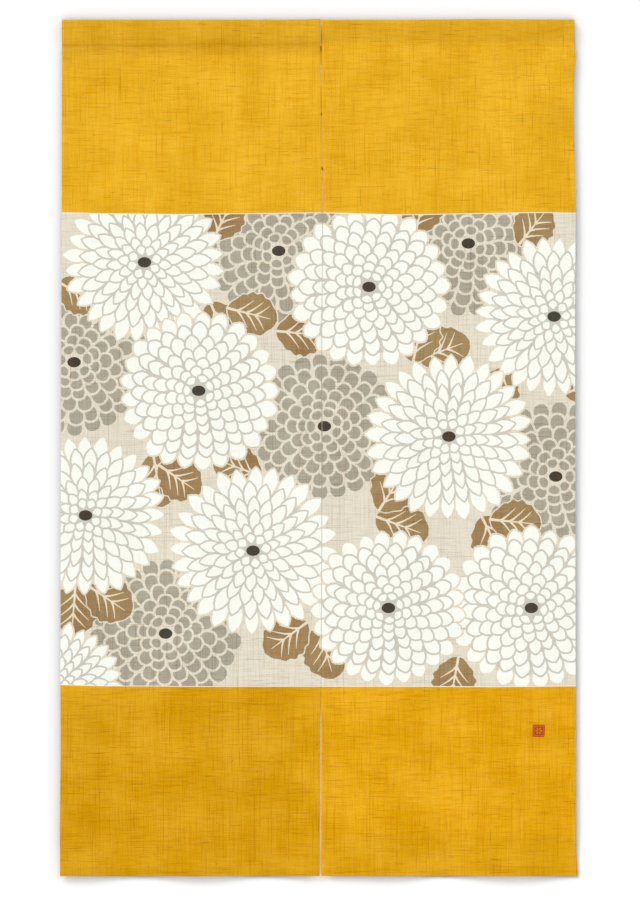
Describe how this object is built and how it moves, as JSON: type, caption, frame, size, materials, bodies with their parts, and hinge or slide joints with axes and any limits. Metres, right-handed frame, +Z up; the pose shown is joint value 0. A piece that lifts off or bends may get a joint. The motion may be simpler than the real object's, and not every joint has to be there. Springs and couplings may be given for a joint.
{
  "type": "noren curtain",
  "caption": "Hemp doorway curtain: cloth panels joined at the top and split below, with a rod sleeve turned over along the top edge.",
  "frame": {"origin": "middle of the top edge, where the curtain hangs from its rod", "axes": "+Z up, so the cloth hangs to -Z; +X to the right of a viewer who faces the printed side; the printed side faces -Y"},
  "size_m": [0.9061, 0.0156, 1.5016],
  "materials": {
    "dyed_hemp": "matt slubby plain weave, dyed in bands",
    "sewing_thread": "matt cotton thread"
  },
  "bodies": {
    "root": {"sleeve_left": "dyed_hemp", "sleeve_right": "dyed_hemp", "panel_left": "dyed_hemp", "panel_right": "dyed_hemp"}
  },
  "joints": []
}
